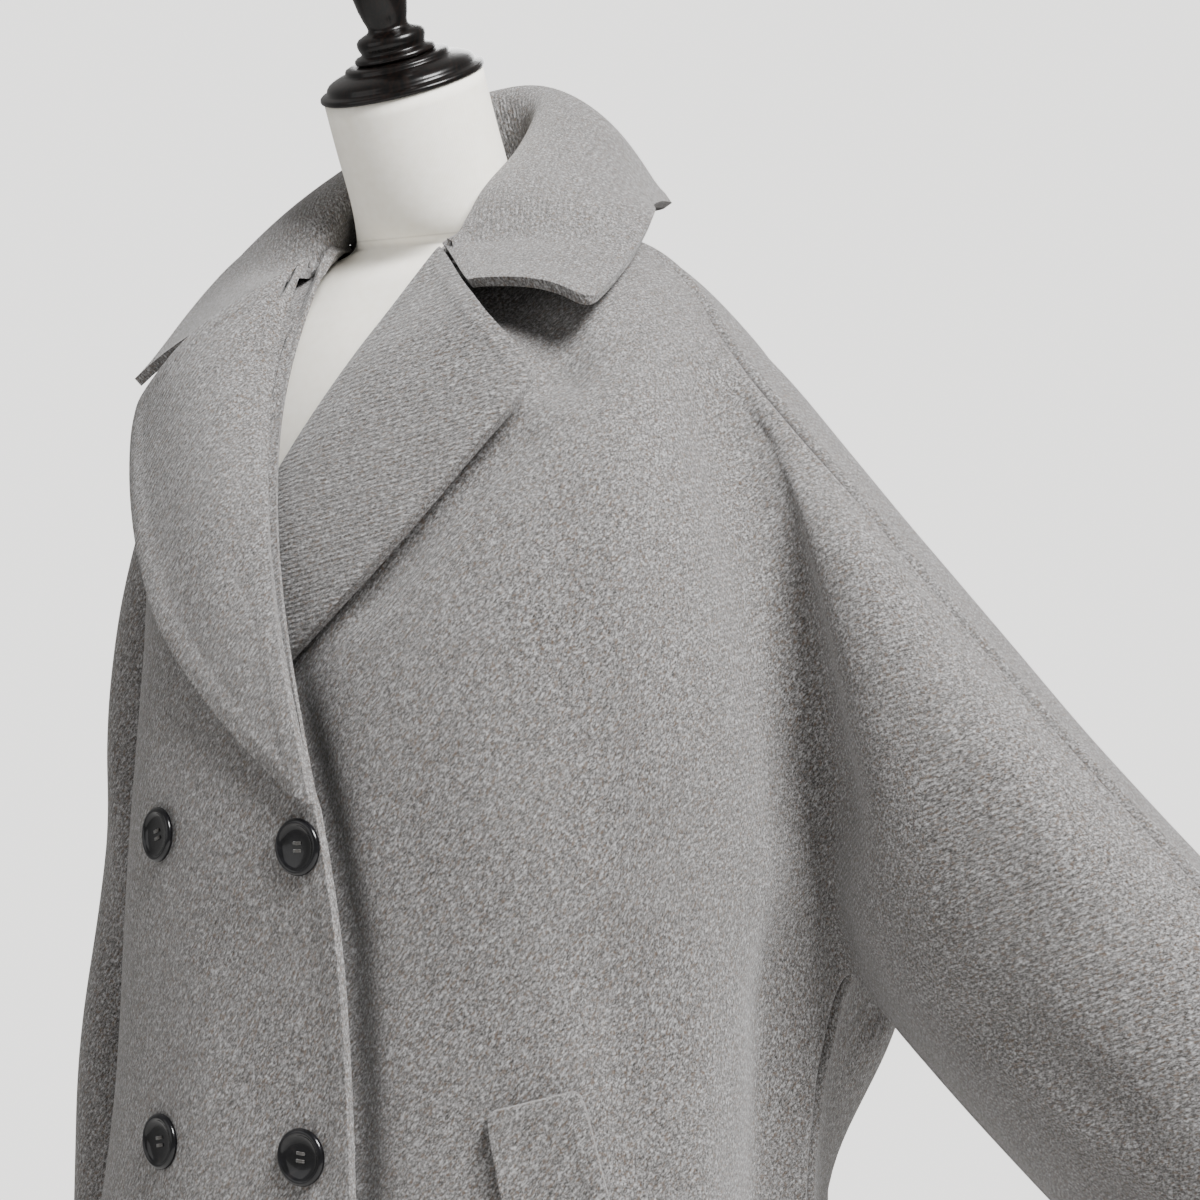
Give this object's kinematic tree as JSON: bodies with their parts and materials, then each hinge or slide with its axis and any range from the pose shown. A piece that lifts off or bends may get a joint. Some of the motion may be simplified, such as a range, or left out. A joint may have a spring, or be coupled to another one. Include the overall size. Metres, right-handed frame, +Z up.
{
  "type": "tent coat on a dress form",
  "caption": "Oversized double-breasted tent coat of thick grey wool with a wide notched collar, worn by a limbless dress form on a turned stand.",
  "frame": {"origin": "on the floor, in the middle of the stand's underside", "axes": "+Z up, the front faces -Y and the wearer's left is +X"},
  "size_m": [1.0282, 0.4888, 1.6523],
  "materials": {
    "wool": "matte",
    "horn": "gloss",
    "cotton": "matte",
    "lacquer": "gloss"
  },
  "bodies": {
    "root": {"front_left": "wool", "front_right": "wool", "back_left": "wool", "back_right": "wool", "lapel_left": "wool", "lapel_right": "wool", "collar": "wool", "pocket_welt_left": "wool", "pocket_welt_right": "wool", "button_top_left": "horn", "button_top_right": "horn", "button_low_left": "horn", "button_low_right": "horn", "form_torso": "cotton", "neck_cap": "lacquer", "finial": "lacquer", "stand_pole": "lacquer", "stand_base": "lacquer"}
  },
  "joints": []
}
